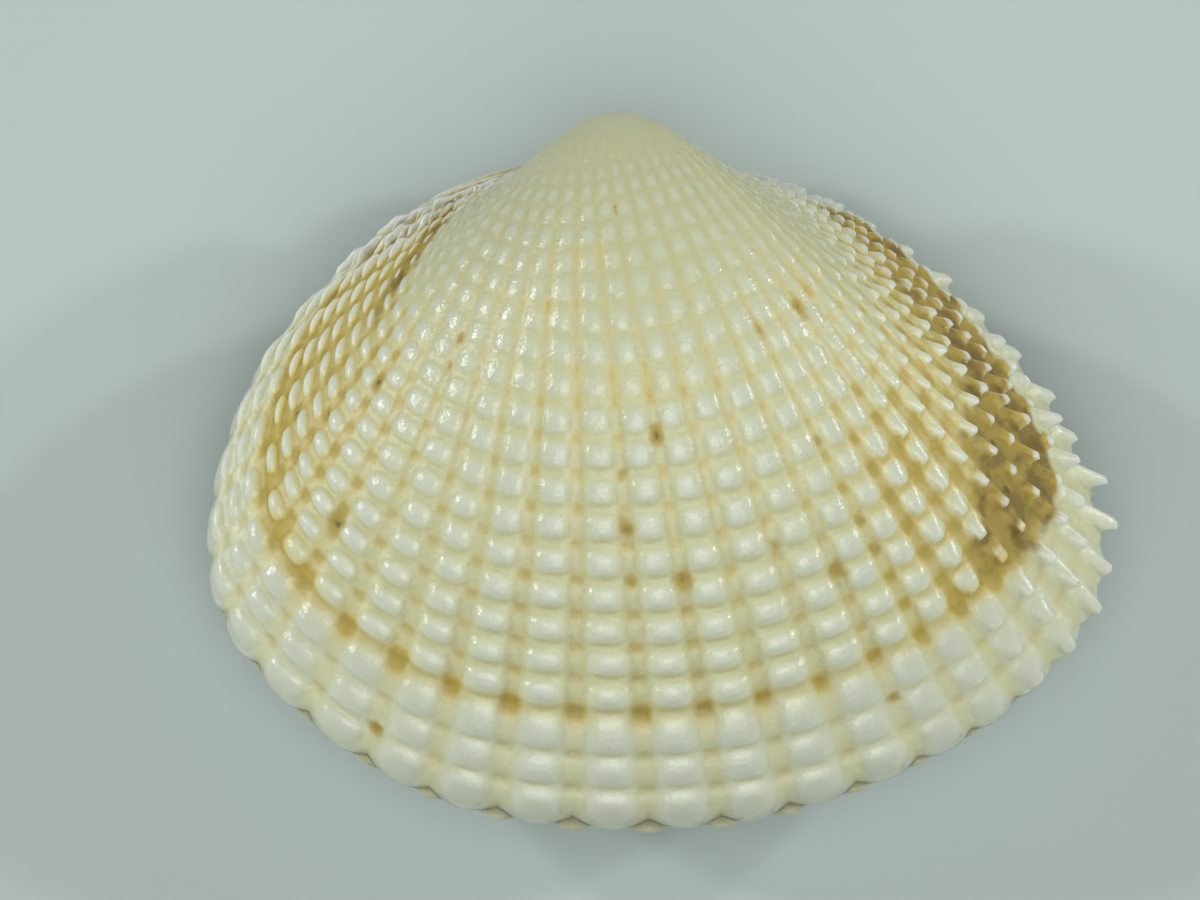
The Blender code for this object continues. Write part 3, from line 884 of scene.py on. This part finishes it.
def shell_material():
    """Colour, a roughness that is lowest on the beads, and a fine grain as a bump."""
    fixed = {
        "Subsurface Weight": 1.0,
        "Subsurface Radius": (1.0, 0.85, 0.6),
        "Subsurface Scale": 0.0007,
        "IOR": 1.5,
    }
    material, start, shader = surface("shell", fixed)
    bead = start.attribute("bead")
    cloud = start.noise(CLOUD)
    grain = start.noise(GRAIN)
    fine = start.noise(FINE)
    patchy = start.noise(PATCHY)
    ochre = start.attribute("ochre") * (OCHRE_CLOUD * cloud + OCHRE_PATCHY * patchy)
    dirt = start.attribute("dirt") * DIRT_LEVEL + grain * DIRT_GRAIN + patchy * DIRT_PATCHY - DIRT_CUT
    dirt = dirt.smooth(*DIRT_SPAN)
    speck = start.attribute("speck") + grain * SPECK_GRAIN - SPECK_CUT
    feed(shell_colour(start, bead, cloud, ochre, dirt, speck), shader, "Base Color")
    soiled = (dirt + speck.smooth(*ROUGH_SPAN) + ochre * OCHRE_ROUGH).clamp()
    gloss = bead.smooth(*GLOSS_SPAN)
    feed((SATIN - GLOSS * gloss + CLOUDED * cloud + SOILED * soiled).clamp(), shader, "Roughness")
    rough = grain * GRAIN_SHARE + fine * FINE_SHARE
    bump = {"Strength": 1.0, "Distance": BUMP_DEPTH, "Height": rough}
    feed(start.node("ShaderNodeBump", {}, bump), shader, "Normal")
    return material


shell = shell_material()
for valve in (left_valve, right_valve):
    valve.data.materials.append(shell)
print("shell nodes:", len(shell.node_tree.nodes))

# %% [markdown]
# ## Floor, light and camera
# The shell lies on plain pale paper. A broad lamp in front, one by the camera and a low surround give
# the soft base tone, and two small lamps to each side put the bright dots on the beads. The camera looks
# down at the fitted angle, and its place is worked out from the pixel of the beak and the size of one
# pixel.

# %% Floor
PAPER = (0.49, 0.565, 0.55, 1.0)
DARKER_PAPER = tuple(0.94 * value for value in PAPER[:3]) + (1.0,)
PAPER_CLOUD = 60.0
FLOOR_HALF = 0.6


def build_floor():
    """A level square under the flat spot."""
    mesh = bpy.data.meshes.new("paper_floor")
    corners = ((-1.0, -1.0), (1.0, -1.0), (1.0, 1.0), (-1.0, 1.0))
    points = [(FLOOR_HALF * x, FLOOR_HALF * y, 0.0) for x, y in corners]
    mesh.from_pydata(points, [], [(0, 1, 2, 3)])
    floor = bpy.data.objects.new("paper_floor", mesh)
    bpy.context.scene.collection.objects.link(floor)
    material, start, shader = surface("pale_paper", {"Roughness": 0.9, "Specular IOR Level": 0.2})
    feed(start.noise(PAPER_CLOUD).blend(PAPER, DARKER_PAPER), shader, "Base Color")
    mesh.materials.append(material)
    return floor


build_floor()
print("floor side, m:", 2.0 * FLOOR_HALF)

# %% Camera
BEAK_PIXEL = (606.3, 140.2)
MM_PER_PIXEL = 0.01768
VIEW_TILT = -0.1337
VIEW_YAW = 0.0156
VIEW_ROLL = 0.0187
IMAGE_WIDTH = 1200
IMAGE_HEIGHT = 900
LENS = 300.0
SENSOR = 36.0
FOCUS_ABOVE_BEAK = 0.6
CLIP_START, CLIP_END = 0.001, 10.0


def build_camera():
    """The view axes are the shell's own, turned by tilt, yaw and roll; the frame sets the place."""
    turns = Matrix.Rotation(VIEW_ROLL, 3, "Z") @ Matrix.Rotation(VIEW_YAW, 3, "Y")
    turns = turns @ Matrix.Rotation(VIEW_TILT, 3, "X")
    axes = np.array(turns)
    beak = MOVE + np.array([0.0, 0.0, BEAK_HEIGHT + 0.5 * EDGE_GAP])
    aside = (0.5 * IMAGE_WIDTH - BEAK_PIXEL[0]) * MM_PER_PIXEL
    down = (BEAK_PIXEL[1] - 0.5 * IMAGE_HEIGHT) * MM_PER_PIXEL
    distance = LENS * IMAGE_WIDTH * MM_PER_PIXEL / SENSOR
    place = beak + aside * axes[0] + down * axes[1] + (FOCUS_ABOVE_BEAK + distance) * axes[2]
    data = bpy.data.cameras.new("camera")
    data.lens = LENS
    data.sensor_width = SENSOR
    data.clip_start = CLIP_START
    data.clip_end = CLIP_END
    camera = bpy.data.objects.new("camera", data)
    camera.matrix_world = Matrix.Translation(place * MM) @ Matrix(axes.T.tolist()).to_4x4()
    bpy.context.scene.collection.objects.link(camera)
    bpy.context.scene.camera = camera
    return camera


camera = build_camera()
print("camera, m:", [round(value, 4) for value in camera.matrix_world.translation])

# %% Lights
SHELL_MIDDLE = Vector((0.0, 0.0, 0.003))
LAMP_DISTANCE = 0.25
SIDE_HEIGHT = math.radians(29.0)
SIDE_BEHIND = (math.radians(13.0), math.radians(28.0))
SIDE_SIZE = 0.016
SIDE_POWER = 0.135
FRONT_HEIGHT = math.radians(58.0)
FRONT_SIZE = 0.20
FRONT_POWER = 0.19
TOP_SIZE = 0.12
TOP_POWER = 0.175
SURROUND = 0.10


def add_lamp(name, direction, size, power):
    """A square area light in one direction that faces the shell and that the camera doesn't see."""
    data = bpy.data.lights.new(name, "AREA")
    data.size = size
    data.energy = power
    lamp = bpy.data.objects.new(name, data)
    lamp.location = SHELL_MIDDLE + LAMP_DISTANCE * direction
    lamp.rotation_euler = (-direction).to_track_quat("-Z", "Y").to_euler()
    lamp.visible_camera = False
    bpy.context.scene.collection.objects.link(lamp)


def light_the_scene():
    """Low lamps a little behind, two to a side, a broad one in front, one by the camera, a surround."""
    level = math.cos(SIDE_HEIGHT)
    for name, side in (("left", -1.0), ("right", 1.0)):
        for number, behind in enumerate(SIDE_BEHIND):
            aside = side * level * math.cos(behind)
            direction = Vector((aside, level * math.sin(behind), math.sin(SIDE_HEIGHT)))
            add_lamp(f"{name}_lamp_{number}", direction, SIDE_SIZE, SIDE_POWER)
    direction = Vector((0.0, -math.cos(FRONT_HEIGHT), math.sin(FRONT_HEIGHT)))
    add_lamp("front_lamp", direction, FRONT_SIZE, FRONT_POWER)
    towards_camera = (camera.location - SHELL_MIDDLE).normalized()
    add_lamp("top_lamp", towards_camera, TOP_SIZE, TOP_POWER)
    world = bpy.data.worlds.new("surround")
    world.use_nodes = True
    background = world.node_tree.nodes["Background"]
    background.inputs["Color"].default_value = (1.0, 1.0, 1.0, 1.0)
    background.inputs["Strength"].default_value = SURROUND
    bpy.context.scene.world = world
    bpy.context.scene.view_settings.view_transform = "Standard"


light_the_scene()
